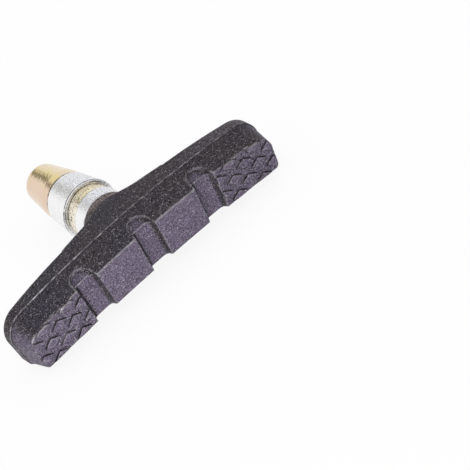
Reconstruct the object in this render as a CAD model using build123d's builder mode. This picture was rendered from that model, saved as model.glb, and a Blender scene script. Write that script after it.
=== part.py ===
from build123d import *
import os
from math import acos, cos, degrees, sin, sqrt

# Bicycle rim brake pad with its threaded stud, two pairs of ball and cup washers and its nut.
# X runs along the pad, Y along the stud away from the rim, and Z up, towards the tyre.
# The origin is on the stud's axis, on the seat that the pad's boss gives the washers.
# All sizes are in millimetres.

# Pad: driving dimensions
arc_radius = 255.0          # the pad follows this arc about the axle, measured at the stud
pad_length = 70.6           # over the flange, along the arc
flange_tyre = 6.5           # stud's axis to the flange's side towards the tyre
flange_hub = 6.8            # and to its side towards the hub, at the stud
face_length = 68.2
face_tyre = 4.5             # the same on the braking face
face_hub = 5.1
hub_rise = 1.0              # the hub's side is flatter than the arc: this much narrower at the ends
pad_thickness = 12.8        # braking face to back, at the stud
end_thickness = 10.2        # the same at the ends
body_depth = 6.9            # braking face to the front edge of the flange
ledge = 0.2                 # the flange stands out this far round the block
tyre_corner = 5.0           # corners of the flange on the tyre's side
hub_corner = 1.8            # corners of the flange on the hub's side
face_tyre_corner = 3.4
face_hub_corner = 1.0
face_chamfer = 0.25
back_chamfer = 0.9
boss_height = 5.2           # back of the pad to the washers' seat
boss_radius = 6.3
boss_waist = 2.7            # washers' seat to the top of the boss's flare
flare_radius = 10.5         # the flare turns into a low skirt here
flare_drop = 5.4            # washers' seat to that place
skirt_radius = 15.5         # the skirt fills the edges of the back up to here
skirt_drop = 6.26
skirt_runout = 1.0          # and then runs out at 45 degrees
boss_chamfer = 0.6

# Grooves and hatching of the braking face
groove_width = 5.5          # at the braking face
groove_pitch = 16.5
groove_draft = 0.3          # each wall comes in this far by the spring of the arch
groove_depth = 2.5          # braking face to groove floor
groove_corner = 1.2         # round between floor and wall
mouth_depth = 4.6           # braking face to the top of the arch in the side
mouth_setback = 0.5         # the floor turns down this far inside the edge of the braking face
mouth_lip = 0.4             # and reaches the top of the arch this far inside the side
hatch_centre = 26.4         # from the stud to the middle of each hatched end
hatch_shift = 0.1           # the hatching's middle lies this far towards the hub
hatch_reach = 17.0          # the hatching runs from the groove off the end of the pad
hatch_step_x = 3.42         # half the pitch of the diamonds, along the pad
hatch_step_z = 2.02         # and across it
diamond_share = 0.6         # diamond's size as a share of the pitch
hatch_depth = 0.4
overcut = 1.0               # cutters start this far in front of the braking face

# Metal: driving dimensions
thread_diameter = 6.0       # M6
stud_head_diameter = 8.4
stud_head_thickness = 1.2
plate_length = 56.0
plate_width = 8.4
plate_corner = 2.0
plate_thickness = 1.5
plate_setback = 3.9         # back of the pad to the plate, at the stud
washer_clearance = 0.15     # round the thread
ball_radius = 7.0
dish_radius = 5.75          # mouth of the dish in each cup washer
ball_washer_radius = 6.0
ball_washer_bore = 4.0      # radius: it swings about the stud
ball_washer_stand = 1.725   # rim of the cup to the flat back of the ball washer
ball_washer_chamfer = 0.2
inner_cup_height = 3.25
inner_cup_base_radius = 5.95
inner_cup_rim_radius = 6.3
outer_cup_height = 8.2
outer_cup_base_radius = 6.0
outer_cup_rim_radius = 6.8
cup_chamfer = 0.25
nut_length = 11.9
nut_land = 2.6              # the nut is straight this far from its base, then tapers
nut_base_radius = 5.7
nut_tip_radius = 4.3
nut_tip_round = 1.4
nut_base_chamfer = 0.3
thread_engagement = 6.5
socket_depth = 4.6
socket_across_flats = 5.0
thread_chamfer = 0.5

# Places along Y that follow from them
back_y = -boss_height
face_y = back_y - pad_thickness
flange_front_y = face_y + body_depth
groove_floor_y = face_y + groove_depth
mouth_top_y = face_y + mouth_depth
plate_back_y = back_y - plate_setback
plate_front_y = plate_back_y - plate_thickness
ball_meeting_y = inner_cup_height + ball_washer_stand
outer_base_y = ball_meeting_y + ball_washer_stand + outer_cup_height
nut_tip_y = outer_base_y + nut_length
stud_end_y = outer_base_y + thread_engagement

# Other sizes that follow from them
thread_radius = thread_diameter / 2
washer_bore = thread_radius + washer_clearance
dish_drop = sqrt(ball_radius**2 - dish_radius**2)
end_drop = pad_thickness - end_thickness
back_radius = ((pad_length / 2)**2 + end_drop**2) / (2 * end_drop)
cut_reach = flange_tyre + flange_hub    # cutters and slabs reach this far from the stud, past either side


def cross_plane(y):
    """Plane across the stud at a place along Y, drawn as seen from the rim, X right and Z up."""
    return Plane.XZ.offset(-y)


def section_plane(y, towards):
    """Half section's plane, with its X axis across the stud at y and its Y axis along or against the stud."""
    return Plane(origin=(0, y, 0), x_dir=(1, 0, 0), z_dir=(0, 0, towards))


def along_arc(distance):
    """Place on the pad's arc at a distance from the stud, turned with the arc."""
    turn = distance / arc_radius
    return Location((arc_radius * sin(turn), 0, arc_radius * (cos(turn) - 1)), (0, degrees(turn), 0))


def pad_plan(length, tyre_side, hub_side, rise, upper_corner, lower_corner):
    """Bent plan of the pad: an arc about the axle, a flatter one below, radial ends and round corners."""
    half_turn = length / 2 / arc_radius
    end_radius = arc_radius - hub_side + rise
    end_x = end_radius * sin(half_turn)
    end_z = end_radius * cos(half_turn) - arc_radius
    start = 90 - degrees(half_turn)
    with BuildSketch() as plan:
        with BuildLine():
            upper = CenterArc((0, -arc_radius), arc_radius + tyre_side, start, 2 * degrees(half_turn))
            lower = ThreePointArc((end_x, end_z), (0, -hub_side), (-end_x, end_z))
            Line(upper @ 0, lower @ 0)
            Line(upper @ 1, lower @ 1)
        make_face()
        fillet(plan.vertices().group_by(Axis.Y)[-1], upper_corner)
        fillet(plan.vertices().group_by(Axis.Y)[0], lower_corner)
    return plan.sketch


def flange_plan():
    """Plan of the pad over its flange."""
    return pad_plan(pad_length, flange_tyre, flange_hub, hub_rise, tyre_corner, hub_corner)


def cup_section(base_radius, rim_radius, height):
    """Half section of a cup washer, its base on the X axis and its dish facing up."""
    ball_y = height + dish_drop
    mouth_angle = degrees(acos(dish_radius / ball_radius))
    bore_angle = degrees(acos(washer_bore / ball_radius))
    with BuildSketch() as section:
        with BuildLine():
            dish = CenterArc((0, ball_y), ball_radius, -bore_angle, bore_angle - mouth_angle)
            Polyline(
                dish @ 1,
                (rim_radius - cup_chamfer, height),
                (rim_radius, height - cup_chamfer),
                (base_radius, cup_chamfer),
                (base_radius - cup_chamfer, 0),
                (washer_bore, 0),
                dish @ 0,
            )
        make_face()
    return section.sketch


def ball_section():
    """Half section of a ball washer, its flat back on the X axis and its ball face up."""
    edge_angle = degrees(acos(ball_washer_radius / ball_radius))
    bore_angle = degrees(acos(ball_washer_bore / ball_radius))
    with BuildSketch() as section:
        with BuildLine():
            ball_y = ball_washer_stand - dish_drop
            ball = CenterArc((0, ball_y), ball_radius, edge_angle, bore_angle - edge_angle)
            Polyline(
                ball @ 1,
                (ball_washer_bore, 0),
                (ball_washer_radius - ball_washer_chamfer, 0),
                (ball_washer_radius, ball_washer_chamfer),
                ball @ 0,
            )
        make_face()
    return section.sketch


# Stud: a flat head in the rubber and a plain shank at the thread's outer diameter
with BuildPart() as stud:
    with BuildSketch(cross_plane(plate_front_y)):
        Circle(stud_head_diameter / 2)
    extrude(amount=stud_head_thickness)
    with BuildSketch(cross_plane(plate_front_y)):
        Circle(thread_radius)
    extrude(amount=plate_front_y - stud_end_y)
    chamfer(stud.edges().sort_by(Axis.Y)[-1], thread_chamfer)
stud.part.label = "stud"

# Backing plate: a strip bent like the pad, with a hole that the stud fills
with BuildPart() as backing_plate:
    with BuildSketch(cross_plane(plate_front_y)):
        add(pad_plan(plate_length, plate_width / 2, plate_width / 2, 0, plate_corner, plate_corner))
        Circle(thread_radius, mode=Mode.SUBTRACT)
    extrude(amount=-plate_thickness)
backing_plate.part.label = "backing_plate"

# Boss of the pad, with a curved foot and a low skirt that are kept inside the flange's plan
with BuildPart() as boss:
    with BuildSketch(Plane.XY):
        with BuildLine():
            waist = Polyline(
                (0, 0),
                (boss_radius - boss_chamfer, 0),
                (boss_radius, -boss_chamfer),
                (boss_radius, -boss_waist),
            )
            skirt = Line((skirt_radius, -skirt_drop), (flare_radius, -flare_drop))
            TangentArc(skirt @ 1, waist @ 1, tangent=skirt % 1)
            Polyline(
                skirt @ 0,
                (skirt_radius + skirt_runout, -skirt_drop - skirt_runout),
                (skirt_radius + skirt_runout, plate_back_y),
                (0, plate_back_y),
                waist @ 0,
            )
        make_face()
    revolve(axis=Axis.Y)
    with BuildSketch(cross_plane(plate_back_y)):
        add(flange_plan())
    extrude(amount=plate_back_y, mode=Mode.INTERSECT)

# Cutter for a groove's mouth: an arch in the tyre's side, with a floor that turns down from the groove's
with BuildPart() as mouth:
    arch_half = groove_width / 2 - groove_draft
    arch_spring_y = mouth_top_y - arch_half
    floor_reach = face_tyre - mouth_setback
    with BuildSketch(Plane.XY.offset(floor_reach)):
        with BuildLine():
            arch = ThreePointArc((arch_half, arch_spring_y), (0, mouth_top_y), (-arch_half, arch_spring_y))
            Polyline(
                arch @ 1,
                (-groove_width / 2, face_y),
                (-groove_width / 2, face_y - overcut),
                (groove_width / 2, face_y - overcut),
                (groove_width / 2, face_y),
                arch @ 0,
            )
        make_face()
    extrude(amount=cut_reach - floor_reach)
    side_slope = (flange_tyre - ledge - face_tyre) / body_depth
    mouth_reach = face_tyre + side_slope * mouth_depth - mouth_lip
    floor_slope = (mouth_top_y - groove_floor_y) / (mouth_reach - floor_reach)
    outer_y = groove_floor_y + floor_slope * (cut_reach - floor_reach)
    with BuildSketch(Plane.YZ):
        with BuildLine():
            Polyline(
                (face_y - overcut, floor_reach),
                (groove_floor_y, floor_reach),
                (outer_y, cut_reach),
                (face_y - overcut, cut_reach),
                close=True,
            )
        make_face()
    extrude(amount=groove_width, both=True, mode=Mode.INTERSECT)

# Cutter for a water groove: right out on the hub's side, with its mouth on the tyre's side
with BuildPart() as groove:
    floor_half = groove_width / 2 - groove_draft * groove_depth / (arch_spring_y - face_y)
    with BuildSketch(Plane.XY.offset(-cut_reach)) as groove_section:
        with BuildLine():
            Polyline(
                (-groove_width / 2, face_y - overcut),
                (-groove_width / 2, face_y),
                (-floor_half, groove_floor_y),
                (floor_half, groove_floor_y),
                (groove_width / 2, face_y),
                (groove_width / 2, face_y - overcut),
                close=True,
            )
        make_face()
        fillet(groove_section.vertices().group_by(Axis.Y)[-1], groove_corner)
    extrude(amount=cut_reach + floor_reach)
    add(mouth.part)

# Cutter for a hatched end: everything down to the hatching's floor, except the diamonds
with BuildPart() as hatch:
    half_x = hatch_step_x * diamond_share
    half_z = hatch_step_z * diamond_share
    diamond = [(half_x, 0), (0, half_z), (-half_x, 0), (0, -half_z)]
    with BuildSketch(cross_plane(face_y + hatch_depth)):
        with Locations((0, -hatch_shift)):
            Rectangle(hatch_reach, 2 * cut_reach)
            with GridLocations(2 * hatch_step_x, 2 * hatch_step_z, 3, 2):
                Polygon(*diamond, mode=Mode.SUBTRACT)
            with GridLocations(2 * hatch_step_x, 2 * hatch_step_z, 4, 3):
                Polygon(*diamond, mode=Mode.SUBTRACT)
    extrude(amount=hatch_depth + overcut)

# Rubber block: braking block, flange and boss in one moulding round the plate and the stud
with BuildPart() as rubber_block:
    with BuildSketch(cross_plane(flange_front_y)):
        add(pad_plan(
            pad_length - 2 * ledge, flange_tyre - ledge, flange_hub - ledge, hub_rise,
            tyre_corner - ledge, hub_corner - ledge,
        ))
    for y, inset in ((face_y + face_chamfer, 0), (face_y, face_chamfer)):
        with BuildSketch(cross_plane(y)):
            add(pad_plan(
                face_length - 2 * inset, face_tyre - inset, face_hub - inset, hub_rise,
                face_tyre_corner - inset, face_hub_corner - inset,
            ))
    loft(ruled=True)
    with BuildSketch(cross_plane(flange_front_y)):
        add(flange_plan())
    extrude(amount=flange_front_y - back_y)
    with BuildSketch(Plane.XY):
        with Locations((0, back_y - back_radius)):
            Circle(back_radius)
    extrude(amount=cut_reach, both=True, mode=Mode.INTERSECT)
    chamfer(rubber_block.faces().sort_by(Axis.Y)[-1].edges(), back_chamfer)
    add(boss.part)
    with Locations(*[along_arc(place) for place in (-groove_pitch, 0, groove_pitch)]):
        add(groove.part, mode=Mode.SUBTRACT)
    with Locations(*[along_arc(place) for place in (-hatch_centre, hatch_centre)]):
        add(hatch.part, mode=Mode.SUBTRACT)
    add(backing_plate.part, mode=Mode.SUBTRACT)
    add(stud.part, mode=Mode.SUBTRACT)
rubber_block.part.label = "rubber_block"

# Inner cup washer: flat base on the boss, dish facing out
with BuildPart() as inner_cup_washer:
    with BuildSketch(section_plane(0, 1)):
        add(cup_section(inner_cup_base_radius, inner_cup_rim_radius, inner_cup_height))
    revolve(axis=Axis.Y)
inner_cup_washer.part.label = "inner_cup_washer"

# Inner ball washer: ball face in the inner cup, flat back out
with BuildPart() as inner_ball_washer:
    with BuildSketch(section_plane(ball_meeting_y, -1)):
        add(ball_section())
    revolve(axis=Axis.Y)
inner_ball_washer.part.label = "inner_ball_washer"

# Outer ball washer: the same, turned round
with BuildPart() as outer_ball_washer:
    with BuildSketch(section_plane(ball_meeting_y, 1)):
        add(ball_section())
    revolve(axis=Axis.Y)
outer_ball_washer.part.label = "outer_ball_washer"

# Outer cup washer: dish facing the pad, tapering to its flat base
with BuildPart() as outer_cup_washer:
    with BuildSketch(section_plane(outer_base_y, -1)):
        add(cup_section(outer_cup_base_radius, outer_cup_rim_radius, outer_cup_height))
    revolve(axis=Axis.Y)
outer_cup_washer.part.label = "outer_cup_washer"

# Dome nut: tapered, with a round shoulder, threaded on the stud and open to its hexagon socket
with BuildPart() as dome_nut:
    with BuildSketch(Plane.XY) as nut_profile:
        with BuildLine():
            Polyline(
                (0, outer_base_y),
                (nut_base_radius - nut_base_chamfer, outer_base_y),
                (nut_base_radius, outer_base_y + nut_base_chamfer),
                (nut_base_radius, outer_base_y + nut_land),
                (nut_tip_radius, nut_tip_y),
                (0, nut_tip_y),
                close=True,
            )
        make_face()
        fillet(nut_profile.vertices().group_by(Axis.Y)[-1].sort_by(Axis.X)[-1], nut_tip_round)
    revolve(axis=Axis.Y)
    socket_floor_y = nut_tip_y - socket_depth
    with BuildSketch(cross_plane(outer_base_y)):
        Circle(thread_radius)
    extrude(amount=outer_base_y - socket_floor_y, mode=Mode.SUBTRACT)
    with BuildSketch(cross_plane(socket_floor_y)):
        RegularPolygon(socket_across_flats / 2, 6, major_radius=False)
    extrude(amount=-socket_depth, mode=Mode.SUBTRACT)
dome_nut.part.label = "dome_nut"

os.makedirs("parts", exist_ok=True)
pieces = (rubber_block, backing_plate, stud, inner_cup_washer, inner_ball_washer, outer_ball_washer,
          outer_cup_washer, dome_nut)
for piece in pieces:
    export_step(piece.part, f"parts/{piece.part.label}.step")
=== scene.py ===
import math
from types import SimpleNamespace

import bpy
from mathutils import Matrix, Vector


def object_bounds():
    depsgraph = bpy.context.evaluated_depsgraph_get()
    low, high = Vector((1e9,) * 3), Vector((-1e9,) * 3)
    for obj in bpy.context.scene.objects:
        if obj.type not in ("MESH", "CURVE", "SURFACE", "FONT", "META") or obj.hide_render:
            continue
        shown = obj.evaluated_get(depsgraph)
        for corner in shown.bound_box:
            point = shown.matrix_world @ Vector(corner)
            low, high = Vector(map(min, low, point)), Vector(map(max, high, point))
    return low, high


# Bicycle rim brake pad: finishes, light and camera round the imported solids.
# X runs along the pad, Y along the stud away from the rim, and Z up. Lengths are in metres.

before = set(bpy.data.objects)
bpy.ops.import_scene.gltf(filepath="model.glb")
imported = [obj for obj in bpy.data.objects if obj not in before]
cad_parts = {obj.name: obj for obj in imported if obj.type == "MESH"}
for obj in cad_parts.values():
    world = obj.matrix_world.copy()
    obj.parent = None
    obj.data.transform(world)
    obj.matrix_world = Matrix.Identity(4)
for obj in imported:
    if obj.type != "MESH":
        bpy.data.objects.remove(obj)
cad_low, cad_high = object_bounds()

MM = 0.001
SHADE_RAYS = 12                             # for each look at how open a surface is
BEVEL_RAYS = 6

# Places on the rubber
COLLAR_FOOT = -2.7 * MM                     # along Y, where the boss's upright collar starts to flare
FLANGE_FRONT = -11.1 * MM
BRAKING_FACE = -18 * MM
HATCH_FLOOR = BRAKING_FACE + 0.4 * MM       # between the raised diamonds
GROOVE_FLOOR = BRAKING_FACE + 2.5 * MM
MOUTH_SPRING = BRAKING_FACE + 2.15 * MM     # where the arch of a groove's mouth starts to close
GROOVE_PITCH = 16.5 * MM
OUTER_GROOVE = 19 * MM                      # the grooves lie within this, along X
BLOCK_END = 32 * MM                         # beyond this, along X, lie only the pad's two ends
SCOOP_SHIFT = 0.4 * MM                      # the scoops of painted light lie this far left of the grooves' middles
SCOOP_RADIUS = 1.8 * MM                     # and reach this far from the arch's spring
SCOOP_FADE = 2.4 * MM
LIGHT_RIGHT_START = 16 * MM                       # along X, painted light makes the flange and the back paler from here
LIGHT_RIGHT_FULL = 28 * MM
TEAR_START = -28 * MM                       # along X, the flange's pale line is strongest up to here
TEAR_END = 5 * MM                           # and weakest from here
COLLAR_FADE = 0.1 * MM

# Strips and lines on the rubber: the middle of each, along Y, and half its width
BROW = (BRAKING_FACE, 0.9 * MM)             # the braking face's upper edge
HATCH_CHANNEL = (HATCH_FLOOR, 0.1 * MM)
# a painted highlight along the scoops' bend
SCOOP_BEND_HIGHLIGHT = (GROOVE_FLOOR + 0.06 * MM, 0.1 * MM)
END_SEAM = (FLANGE_FRONT - 0.2 * MM, 0.1 * MM)
FLANGE_LINE = (FLANGE_FRONT, 0.05 * MM)
COLLAR_LINE = (COLLAR_FOOT, 0.12 * MM)
SHADED_BRINKS = (-1 * MM, OUTER_GROOVE)       # along X: here the grooves' left edges get painted shade

# Lines of painted shade round the metal pieces, in the same form
INNER_CUP_LINE = (3.2 * MM, 0.05 * MM)
BALL_LINE = (4.98 * MM, 0.06 * MM)          # where the two ball washers meet
OUTER_CUP_LINE = (6.93 * MM, 0.07 * MM)
NUT_LINE = (15.2 * MM, 0.2 * MM)            # round the foot of the nut

# Texture of the rubber
RUBBER_GRAIN = 0.12 * MM
RUBBER_GRAIN_HEIGHT = 0.03 * MM
RUBBER_ROUNDING = 0.25 * MM                 # how far the light sees its edges rounded
PATCHES = 9 * MM                            # cooler and warmer areas
BROW_WEAR = 2.5 * MM
EDGE_BREAKS = 0.9 * MM
FLANGE_BREAKS = 1.6 * MM
SCUFF_WIDTH = 0.3 * MM
SCUFF_STRETCH = (0.1, 1, 1)                 # scuffs run along the pad
SCUFF_TURN = 0.12                           # radians
FINE_FLECKS = 0.3 * MM
COARSE_FLECKS = 0.7 * MM
CORNER_REACH = 1.2 * MM                     # painted shade darkens corners this far from what they face
FOOT_REACH = 0.45 * MM
EDGE_REACH = 0.5 * MM

# Colours of the rubber, where a pair goes from the dark of its grain to the light
SIDE_DARK = (0.003, 0.002, 0.003, 1)
SIDE_COOL = (0.125, 0.111, 0.152, 1)
SIDE_WARM = (0.138, 0.111, 0.13, 1)
# The face's pair is paler partly from its own finish and partly as painted light on what faces the lamps
PALE_LIT_FACE = (0.055, 0.045, 0.065, 1), (0.28, 0.228, 0.336, 1)
# painted light on the flange and the back towards the right end
RIGHT_END_LIGHT = (0.006, 0.005, 0.006, 1), (0.3, 0.25, 0.3, 1)
COLLAR = (0.03, 0.024, 0.024, 1), (0.72, 0.6, 0.58, 1)
PAINTED_SHADE = (0.006, 0.005, 0.007, 1)
# pale flecks: partly dusting, partly painted glints
DUST_AND_GLINTS = (0.86, 0.82, 0.87, 1)
RUBBED_AND_HIGHLIT = (0.95, 0.91, 0.96, 1)

# Texture and colours of the plating
HUES = 2.2 * MM
RIPPLES = 0.9 * MM
RIPPLE_HEIGHT = 0.1 * MM
STIPPLE_HEIGHT = 0.08 * MM
STIPPLE_PER_GRAIN = 1.4                     # size of the stippling
SHADE_BREAKS = 0.7 * MM
TARNISH_SPOTS = 0.35 * MM
GAP_REACH = 0.18 * MM
PINK_FILM = (0.8, 0.63, 0.55, 1)
YELLOW_FILM = (0.8, 0.67, 0.36, 1)
# a painted reflection: a golden band on what faces up
GOLDEN_REFLECTION = (0.72, 0.6, 0.14, 1)
GOLDEN_LEAN = 0.15                          # how far to the left of the top the band lies
TARNISH = (0.16, 0.13, 0.05, 1)
# painted shade in the gaps between the pieces
GAP_SHADE = (0.03, 0.028, 0.022, 1)

# Camera, fitted to the photograph
IMAGE_SIDE = 470                            # pixels
VIEW_AZIMUTH = math.radians(-18.76)
VIEW_ELEVATION = math.radians(35.35)
VIEW_ROLL = math.radians(30.13)
VIEW_DISTANCE = 665.7 * MM
PIXELS_PER_METRE = 4780.0                   # at that distance
STUD_PIXEL = (154.3, 245.3)                 # where the stud's axis meets the braking face
SENSOR = 36.0                               # millimetres

# Studio
WHITE = (1, 1, 1, 1)
FLOOR_SIDE = 3.0
FLOOR_GREY = (0.8, 0.8, 0.8, 1)
FLOOR_OWN_LIGHT = 0.985                     # share of the floor's colour that no lamp lights
SHADOW_REACH = 14 * MM                      # how far the painted soft shadow of the object spreads on the floor
SHADOW_LIGHT = 0.92                         # what is left of the floor's own light where it is deepest
SKY_LIGHT = 0.18                            # what the room adds on every side
STRIP = (0.08, 0.07, 0.02, 1)               # a dim strip in the white room, which the metal reflects
STRIP_MIDDLE = (-0.143, 0.861, 0.488)       # the direction of its middle
STRIP_SIDE = (-0.701, 0.26, -0.664)         # and the direction across it
CEILING = (0.5, 0.5, 0.52, 1)               # dim too, in reflections only


class Nodes:
    """The node tree of a material or a world, with a short call for each kind of step in it."""

    def __init__(self, owner):
        owner.use_nodes = True
        self.tree = owner.node_tree
        self.tree.nodes.clear()

    def add(self, kind, inputs=None, **settings):
        """Adds a node. An input is given a value, or is linked where a socket is given."""
        made = self.tree.nodes.new(kind)
        for name, value in settings.items():
            setattr(made, name, value)
        for key, value in (inputs or {}).items():
            if isinstance(value, bpy.types.NodeSocket):
                self.tree.links.new(value, made.inputs[key])
            else:
                made.inputs[key].default_value = value
        return made

    def split(self, vector):
        """The X, Y and Z of a vector."""
        return self.add("ShaderNodeSeparateXYZ", {0: vector}).outputs

    def dot(self, first, second):
        """How far one direction agrees with another."""
        return self.add("ShaderNodeVectorMath", {0: first, 1: second},
                        operation="DOT_PRODUCT").outputs["Value"]

    def maths(self, operation, *values):
        """One step of arithmetic."""
        return self.add("ShaderNodeMath", dict(enumerate(values)), operation=operation).outputs[0]

    def product(self, first, *others):
        """All the values multiplied."""
        for other in others:
            first = self.maths("MULTIPLY", first, other)
        return first

    def highest(self, first, *others):
        """The highest of the values."""
        for other in others:
            first = self.maths("MAXIMUM", first, other)
        return first

    def near(self, value, middle, reach):
        """1 within a reach of the middle, and 0 beyond."""
        return self.maths("COMPARE", value, middle, reach)

    def spread(self, value, low, high, start=0.0, end=1.0):
        """A value carried from one range to another and held at its ends."""
        return self.add("ShaderNodeMapRange", {
            "Value": value, "From Min": low, "From Max": high,
            "To Min": start, "To Max": end}).outputs["Result"]

    def between(self, share, start, end):
        """A value that goes from start to end as a share goes from 0 to 1."""
        return self.spread(share, 0.0, 1.0, start, end)

    def blend(self, share, first, second):
        """The second colour laid over the first by a share."""
        return self.add("ShaderNodeMix", {
            "Factor": share, "A": first, "B": second}, data_type="RGBA").outputs["Result"]

    def noise(self, place, size, detail=2.0):
        """Noise whose patches are about this many metres across."""
        return self.add("ShaderNodeTexNoise", {
            "Vector": place, "Scale": 1 / size, "Detail": detail}).outputs["Fac"]

    def cells(self, place, pitch):
        """For the cells of a loose packing, a chance value for each and the distance from its middle."""
        packing = self.add("ShaderNodeTexVoronoi", {"Vector": place, "Scale": 1 / pitch}).outputs
        chance = self.add("ShaderNodeSeparateColor", {0: packing["Color"]}).outputs[0]
        return chance, packing["Distance"]

    def flecks(self, place, pitch, radius, share):
        """Scattered dots of all strengths in a share of such cells, their radius given in pitches."""
        chance, from_middle = self.cells(place, pitch)
        return self.product(self.spread(from_middle, radius, radius * 0.5),
                            self.spread(chance, share, share * 0.3))

    def stretch(self, place, scale, turn):
        """Coordinates turned by one angle about all three axes and then scaled along each."""
        turned = self.add("ShaderNodeMapping", {"Vector": place, "Rotation": (turn, turn, turn)})
        return self.add("ShaderNodeMapping", {"Vector": turned.outputs[0], "Scale": scale}).outputs[0]

    def shade(self, distance, inside=False):
        """How open the surface is: low in corners, or low along edges when it looks inside."""
        return self.add("ShaderNodeAmbientOcclusion", {"Distance": distance},
                        inside=inside, only_local=inside, samples=SHADE_RAYS).outputs["AO"]

    def bevel(self, radius):
        """The surface's direction with its edges rounded."""
        return self.add("ShaderNodeBevel", {"Radius": radius}, samples=BEVEL_RAYS).outputs[0]

    def bump(self, height, strength, distance, normal):
        """The surface's direction with a height's bumps on it."""
        return self.add("ShaderNodeBump", {
            "Height": height, "Strength": strength, "Distance": distance,
            "Normal": normal}).outputs["Normal"]

    def seen(self, path):
        """1 for what the camera sees, also in reflections and through clear things, and 0 for lighting."""
        return self.highest(path["Is Camera Ray"], path["Is Glossy Ray"], path["Is Transmission Ray"])


def start_material(name):
    """A new material and its empty node tree."""
    material = bpy.data.materials.new(name)
    return material, Nodes(material)


def lit_groove_scoops(draw, at, facing):
    """Painted light in the scoops at the grooves' mouths: what faces upward round the spring of each arch.
    """
    from_groove = draw.maths("WRAP", at["X"], GROOVE_PITCH / 2, -GROOVE_PITCH / 2)
    sideways = draw.maths("ADD", from_groove, SCOOP_SHIFT)
    above = draw.maths("SUBTRACT", at["Y"], MOUTH_SPRING)
    from_spring = draw.maths("SQRT", draw.maths(
        "ADD", draw.product(sideways, sideways), draw.product(above, above)))
    grooved = draw.maths("LESS_THAN", draw.maths("ABSOLUTE", at["X"]), OUTER_GROOVE)
    return draw.product(draw.spread(from_spring, SCOOP_FADE, SCOOP_RADIUS),
                        draw.spread(facing["Z"], 0.25, 0.45), grooved)


def rubber_zones(draw):
    """Masks that are 1 on a part of the rubber and 0 elsewhere, with the values that they come from."""
    coordinates = draw.add("ShaderNodeTexCoord").outputs
    place = coordinates["Object"]
    at = draw.split(place)
    facing = draw.split(coordinates["Normal"])
    round_edge = draw.bevel(RUBBER_ROUNDING)
    leaning = draw.split(round_edge)
    openness = draw.shade(CORNER_REACH)
    from_stud = draw.maths("ABSOLUTE", at["X"])

    front = draw.spread(facing["Y"], -0.62, -0.9)
    hatched = draw.maths("GREATER_THAN", from_stud, OUTER_GROOVE)
    end = draw.product(draw.spread(draw.maths("ABSOLUTE", facing["X"]), 0.5, 0.8),
                       draw.maths("GREATER_THAN", from_stud, BLOCK_END),
                       draw.maths("LESS_THAN", at["Y"], FLANGE_FRONT))
    # painted shade on the groove walls that face sideways where the rubber hems them in
    shaded_wall = draw.product(draw.spread(openness, 0.97, 0.8), draw.spread(facing["Y"], -0.35, -0.15))
    # painted shade along the edges that turn right, near the grooves, and along those that turn down
    shaded_groove_edge = draw.product(draw.spread(leaning["X"], 0.1, 0.3), front,
                               draw.near(at["X"], *SHADED_BRINKS))
    shaded_lower_edge = draw.product(draw.spread(leaning["Z"], -0.03, -0.12), front)
    brow = draw.product(draw.near(at["Y"], *BROW), draw.spread(facing["Z"], 0.3, 0.6))
    worn_brow = draw.product(brow, hatched, draw.spread(draw.noise(place, BROW_WEAR), 0.45, 0.55))
    return SimpleNamespace(
        place=place, at=at, facing=facing, round_edge=round_edge, leaning=leaning, openness=openness,
        grain=draw.spread(draw.cells(place, RUBBER_GRAIN)[0], 0.32, 0.68),
        patches=draw.spread(draw.noise(place, PATCHES), 0.4, 0.6),
        front=front, hatched=hatched, end=end, shaded_wall=shaded_wall, brow=brow, worn_brow=worn_brow,
        shaded_brink=draw.highest(shaded_groove_edge, shaded_lower_edge), lit_scoop=lit_groove_scoops(draw, at, facing))


def rubber_colours(draw, zone):
    """The grained colour, paler on the face and the ends partly by painted light, with painted light on
    the flange and back towards the right end, and a pale collar, and the face's own.
    """
    side = draw.blend(zone.grain, SIDE_DARK, draw.blend(zone.patches, SIDE_COOL, SIDE_WARM))
    # painted light: the flange and the back grow paler towards the right end
    lit_right_end = draw.product(draw.spread(zone.at["X"], LIGHT_RIGHT_START, LIGHT_RIGHT_FULL),
                          draw.maths("GREATER_THAN", zone.at["Y"], FLANGE_FRONT))
    side = draw.blend(lit_right_end, side, draw.blend(zone.grain, *RIGHT_END_LIGHT))
    face = draw.blend(zone.grain, *PALE_LIT_FACE)
    # painted light, partly the face's own finish: what faces front, and the ends, take the paler colour
    colour = draw.blend(draw.highest(zone.front, zone.end), side, face)
    collar = draw.spread(zone.at["Y"], COLLAR_FOOT - COLLAR_FADE, COLLAR_FOOT + COLLAR_FADE)
    return draw.blend(collar, colour, draw.blend(zone.grain, *COLLAR)), face


def rubber_painted_shade(draw, zone):
    """Painted shade: groove walls, corners, feet, brinks, the ends' seams and the hatching's floor."""
    corner = draw.spread(zone.openness, 0.92, 0.5, 0.0, 0.45)
    foot = draw.spread(draw.shade(FOOT_REACH), 0.9, 0.7, 0.0, 0.95)
    end_seam = draw.product(draw.near(zone.at["Y"], *END_SEAM), zone.end)
    channel = draw.product(draw.near(zone.at["Y"], *HATCH_CHANNEL), zone.hatched, 0.15)
    return draw.highest(zone.shaded_wall, corner, foot, end_seam, zone.shaded_brink, channel)


def rubber_marks(draw, zone):
    """Flecks, partly dusting and partly painted glints, and scuffs: few on the groove walls, and fewer on
    the braking face than on the sides.
    """
    dust_and_glints = draw.highest(draw.flecks(zone.place, FINE_FLECKS, 0.36, 0.35),
                        draw.flecks(zone.place, COARSE_FLECKS, 0.22, 0.4))
    along = draw.stretch(zone.place, SCUFF_STRETCH, SCUFF_TURN)
    scratched = draw.maths("ADD", draw.noise(along, SCUFF_WIDTH), draw.product(zone.worn_brow, 0.09))
    scuffs = draw.product(draw.spread(scratched, 0.64, 0.74),
                          draw.highest(draw.product(zone.patches, 0.6), zone.worn_brow))
    return draw.product(draw.highest(dust_and_glints, scuffs),
                        draw.between(zone.shaded_wall, 1.0, 0.1), draw.between(zone.front, 1.0, 0.8))


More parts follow.
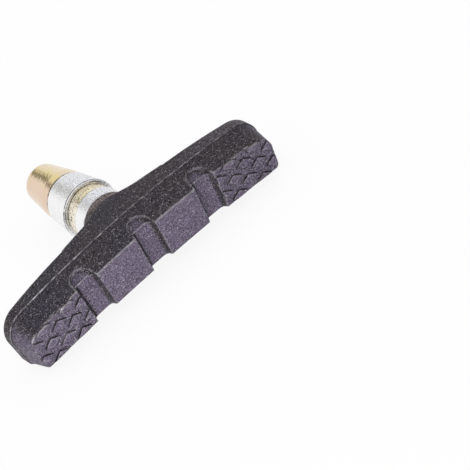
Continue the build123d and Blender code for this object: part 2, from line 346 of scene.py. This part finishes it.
def rubber_wear_and_highlights(draw, zone):
    """The pale, broken lines, partly where the rubber is rubbed and partly painted highlights along edges,
    the brow's crest, the diamonds' left sides and the scoops' bends.
    """
    broken = draw.spread(draw.noise(zone.place, EDGE_BREAKS, 5.0), 0.44, 0.6, 0.15, 1.0)
    normal = draw.add("ShaderNodeNewGeometry").outputs["Normal"]
    ridge = draw.spread(draw.dot(normal, zone.round_edge), 0.998, 0.97)
    thin = draw.spread(draw.shade(EDGE_REACH, inside=True), 0.95, 0.7)
    edge = draw.product(draw.highest(ridge, thin), broken,
                        draw.between(zone.worn_brow, 0.4, 1.0), draw.between(zone.front, 1.0, 0.3))
    torn = draw.product(
        draw.spread(draw.noise(zone.place, FLANGE_BREAKS, 5.0), 0.47, 0.64, 0.05, 1.0),
        draw.spread(zone.at["X"], TEAR_START, TEAR_END, 0.9, 0.4))
    flange_line = draw.product(draw.near(zone.at["Y"], *FLANGE_LINE), torn)
    crest = draw.product(zone.brow, draw.near(zone.facing["Y"], -0.72, 0.16),
                         draw.between(broken, 0.2, 0.35))
    diamond_glint = draw.product(
        draw.spread(zone.leaning["X"], -0.04, -0.12), draw.spread(zone.leaning["X"], -0.5, -0.3),
        zone.front, zone.hatched, draw.between(broken, 0.0, 0.35))
    bend = draw.product(draw.near(zone.at["Y"], *SCOOP_BEND_HIGHLIGHT), zone.lit_scoop, draw.between(broken, 0.1, 0.6))
    collar_line = draw.product(draw.near(zone.at["Y"], *COLLAR_LINE), draw.between(broken, 0.0, 0.5))
    lines = draw.highest(edge, flange_line, crest, diamond_glint, bend, collar_line)
    return draw.product(lines, draw.between(draw.highest(zone.shaded_wall, zone.shaded_brink), 1.0, 0.1))


def rubber_material():
    """Moulded rubber: crisp grain, a face paler partly by painted light, painted shade in the hollows,
    dusting and painted glints in pale flecks, scuffs, and edges partly rubbed and partly painted
    highlights.
    """
    material, draw = start_material("pad_rubber")
    zone = rubber_zones(draw)
    colour, face = rubber_colours(draw, zone)
    # painted shade in the hollows
    colour = draw.blend(rubber_painted_shade(draw, zone), colour, PAINTED_SHADE)
    # painted light: the scoops take the face's paler colour
    colour = draw.blend(draw.product(zone.lit_scoop, 0.95), colour, face)
    # pale flecks: partly dusting, partly painted glints
    colour = draw.blend(rubber_marks(draw, zone), colour, DUST_AND_GLINTS)
    # partly rubbed wear, partly painted highlights along the edges
    colour = draw.blend(rubber_wear_and_highlights(draw, zone), colour, RUBBED_AND_HIGHLIT)
    shader = draw.add("ShaderNodeBsdfPrincipled", {
        "Base Color": colour,
        "Roughness": draw.between(zone.grain, 0.65, 0.5),
        "Specular IOR Level": 0.3,
        "Normal": draw.bump(zone.grain, 0.4, RUBBER_GRAIN_HEIGHT, zone.round_edge),
    })
    draw.add("ShaderNodeOutputMaterial", {"Surface": shader.outputs[0]})
    return material


def plated_colour(draw, place, facing, grain, dull, bright, left_reflection, iridescence):
    """Grains from dull to bright, under an iridescent film, with a painted golden reflection along the
    top, leaning left, and a painted warmer reflection on the left side.
    """
    colour = draw.blend(draw.cells(place, grain)[0], (*dull, 1), (*bright, 1))
    hue = draw.spread(draw.noise(place, HUES), 0.4, 0.6)
    colour = draw.blend(iridescence, colour, draw.blend(hue, PINK_FILM, YELLOW_FILM))
    # painted reflection: a golden band on what faces up, a little to the left
    sideways = draw.maths("ABSOLUTE", draw.maths("ADD", facing["X"], GOLDEN_LEAN))
    band = draw.product(draw.spread(sideways, 0.35, 0.1), draw.spread(facing["Z"], 0.3, 0.6), iridescence)
    colour = draw.blend(band, colour, GOLDEN_REFLECTION)
    # painted reflection: the left side turns warmer
    tinge = draw.product(draw.spread(facing["X"], 0.1, -0.7), 0.85)
    return draw.blend(tinge, colour, (*left_reflection, 1))


def plated_material(name, dull, bright, left_reflection, roughness, grain, stippling, rounding,
                    ripple=0.0, iridescence=0.0, tarnish=0.0, shade_lines=()):
    """Plated steel: stippled and rippled, with tarnish in spots and broken lines of painted shade in its
    gaps.
    """
    material, draw = start_material(name)
    coordinates = draw.add("ShaderNodeTexCoord").outputs
    place = coordinates["Object"]
    facing = draw.split(coordinates["Normal"])
    colour = plated_colour(draw, place, facing, grain, dull, bright, left_reflection, iridescence)

    spots = draw.spread(draw.noise(place, TARNISH_SPOTS, 4.0), 0.52, 0.64, 0.0, tarnish)
    colour = draw.blend(spots, colour, TARNISH)
    along_stud = draw.split(place)["Y"]
    # painted shade in the gaps between the pieces and along the listed lines
    gap = draw.spread(draw.shade(GAP_REACH), 0.7, 0.4)
    gap = draw.highest(gap, *[draw.near(along_stud, *line) for line in shade_lines])
    broken = draw.spread(draw.noise(place, SHADE_BREAKS), 0.35, 0.55, 0.3, 0.95)
    colour = draw.blend(draw.product(gap, broken), colour, GAP_SHADE)

    stipple = draw.noise(place, grain * STIPPLE_PER_GRAIN)
    rippled = draw.bump(draw.noise(place, RIPPLES, 4.0), ripple, RIPPLE_HEIGHT, draw.bevel(rounding))
    shader = draw.add("ShaderNodeBsdfPrincipled", {
        "Base Color": colour,
        "Metallic": 1.0,
        "Roughness": draw.spread(stipple, 0.35, 0.65, roughness * 1.2, roughness * 0.8),
        "Normal": draw.bump(stipple, stippling, STIPPLE_HEIGHT, rippled),
    })
    draw.add("ShaderNodeOutputMaterial", {"Surface": shader.outputs[0]})
    return material


def floor_material():
    """A white floor, seen from above only, that shines by itself, with a painted soft shadow that dims it
    round the object's foot.
    """
    material, draw = start_material("floor")
    seen = draw.seen(draw.add("ShaderNodeLightPath").outputs)
    # painted shadow: the floor's own light dims where the object hems it in
    shadow = draw.spread(draw.shade(SHADOW_REACH), 0.2, 0.95, SHADOW_LIGHT, 1.0)
    matt = draw.add("ShaderNodeBsdfDiffuse", {"Color": FLOOR_GREY})
    own_light = draw.add("ShaderNodeEmission", {"Strength": draw.product(seen, shadow)})
    both = draw.add("ShaderNodeMixShader", {
        0: draw.product(seen, FLOOR_OWN_LIGHT), 1: matt.outputs[0], 2: own_light.outputs[0]})
    below = draw.add("ShaderNodeNewGeometry").outputs["Backfacing"]
    clear = draw.add("ShaderNodeBsdfTransparent")
    sided = draw.add("ShaderNodeMixShader", {0: below, 1: both.outputs[0], 2: clear.outputs[0]})
    draw.add("ShaderNodeOutputMaterial", {"Surface": sided.outputs[0]})
    return material


def white_room():
    """A white world for what is seen, with a dim strip and a dim ceiling that only reflections show."""
    world = bpy.data.worlds.new("studio")
    draw = Nodes(world)
    path = draw.add("ShaderNodeLightPath").outputs
    direction = draw.add("ShaderNodeTexCoord").outputs["Generated"]
    ceiling = draw.product(draw.spread(draw.split(direction)["Z"], 0.74, 0.9), path["Is Glossy Ray"])
    across_strip = draw.maths("ABSOLUTE", draw.dot(direction, STRIP_SIDE))
    strip = draw.product(draw.spread(draw.dot(direction, STRIP_MIDDLE), 0.84, 0.93),
                         draw.spread(across_strip, 0.15, 0.0), path["Is Glossy Ray"])
    sky = draw.add("ShaderNodeBackground", {
        "Color": draw.blend(strip, draw.blend(ceiling, WHITE, CEILING), STRIP),
        "Strength": draw.between(draw.seen(path), SKY_LIGHT, 1.0)})
    draw.add("ShaderNodeOutputWorld", {"Surface": sky.outputs[0]})
    return world


def softbox(name, direction, distance, size, power):
    """A square lamp that shines on the object from a direction, and that polished metal doesn't show."""
    lamp = bpy.data.lights.new(name, "AREA")
    lamp.size = size
    lamp.energy = power
    holder = bpy.data.objects.new(name, lamp)
    bpy.context.scene.collection.objects.link(holder)
    towards = Vector(direction).normalized()
    holder.location = (cad_low + cad_high) / 2 + towards * distance
    holder.rotation_euler = towards.to_track_quat("Z", "Y").to_euler()
    holder.visible_glossy = False


def photo_camera():
    """The camera that was fitted to the photograph, rolled, with the stud's axis at its pixel."""
    right = Vector((math.cos(VIEW_AZIMUTH), math.sin(VIEW_AZIMUTH), 0))
    back = Vector((
        math.sin(VIEW_AZIMUTH) * math.cos(VIEW_ELEVATION),
        -math.cos(VIEW_AZIMUTH) * math.cos(VIEW_ELEVATION),
        math.sin(VIEW_ELEVATION),
    ))
    up = back.cross(right)
    image_right = math.cos(VIEW_ROLL) * right - math.sin(VIEW_ROLL) * up
    image_up = math.sin(VIEW_ROLL) * right + math.cos(VIEW_ROLL) * up
    face_centre = Vector((0, cad_low.y, 0))
    eye = face_centre + back * VIEW_DISTANCE
    across = (IMAGE_SIDE / 2 - STUD_PIXEL[0]) / PIXELS_PER_METRE
    above = (STUD_PIXEL[1] - IMAGE_SIDE / 2) / PIXELS_PER_METRE
    aim = face_centre + image_right * across + image_up * above
    camera_z = (eye - aim).normalized()
    camera_x = image_up.cross(camera_z).normalized()
    camera_y = camera_z.cross(camera_x)
    camera = bpy.data.cameras.new("camera")
    camera.sensor_width = SENSOR
    camera.lens = SENSOR * VIEW_DISTANCE * PIXELS_PER_METRE / IMAGE_SIDE
    holder = bpy.data.objects.new("camera", camera)
    bpy.context.scene.collection.objects.link(holder)
    turn = Matrix((camera_x, camera_y, camera_z)).transposed().to_4x4()
    holder.matrix_world = Matrix.Translation(eye) @ turn
    return holder


# Finishes
rubber = rubber_material()
silver = plated_material(
    "silver_zinc", dull=(0.5, 0.51, 0.58), bright=(1.0, 1.0, 1.0), left_reflection=(0.95, 0.945, 0.94),
    roughness=0.22, grain=0.19 * MM, stippling=1.0, rounding=0.35 * MM,
    shade_lines=(INNER_CUP_LINE, OUTER_CUP_LINE))
gold = plated_material(
    "gold_zinc", dull=(0.66, 0.57, 0.35), bright=(1.0, 0.95, 0.8), left_reflection=(0.97, 0.9, 0.78),
    roughness=0.24, grain=0.26 * MM, stippling=0.8, rounding=0.08 * MM,
    ripple=0.3, iridescence=0.2, tarnish=0.7, shade_lines=(BALL_LINE,))
polished = plated_material(
    "polished_gold_zinc", dull=(0.71, 0.58, 0.36), bright=(0.81, 0.69, 0.5), left_reflection=(0.77, 0.59, 0.46),
    roughness=0.13, grain=0.25 * MM, stippling=0.3, rounding=0.9 * MM,
    ripple=0.8, iridescence=0.5, shade_lines=(NUT_LINE,))
steel = plated_material(
    "plain_steel", dull=(0.4, 0.41, 0.43), bright=(0.62, 0.63, 0.65), left_reflection=(0.5, 0.5, 0.51),
    roughness=0.42, grain=0.3 * MM, stippling=0.1, rounding=0.12 * MM)
for name, finish in {
    "rubber_block": rubber,
    "backing_plate": steel,
    "stud": steel,
    "inner_cup_washer": silver,
    "outer_cup_washer": silver,
    "inner_ball_washer": gold,
    "outer_ball_washer": gold,
    "dome_nut": polished,
}.items():
    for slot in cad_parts[name].material_slots:
        slot.material = finish

# Studio and camera
bpy.ops.mesh.primitive_plane_add(size=FLOOR_SIDE, location=(0, 0, cad_low.z))
floor = bpy.context.object
floor.name = "floor"
floor.data.materials.append(floor_material())
softbox("key", direction=(-0.45, -0.89, 0.05), distance=0.22, size=0.14, power=0.47)
softbox("back", direction=(0.5, 0.7, 0.5), distance=0.5, size=0.3, power=0.5)
scene = bpy.context.scene
scene.world = white_room()
scene.camera = photo_camera()
scene.view_settings.view_transform = "Standard"
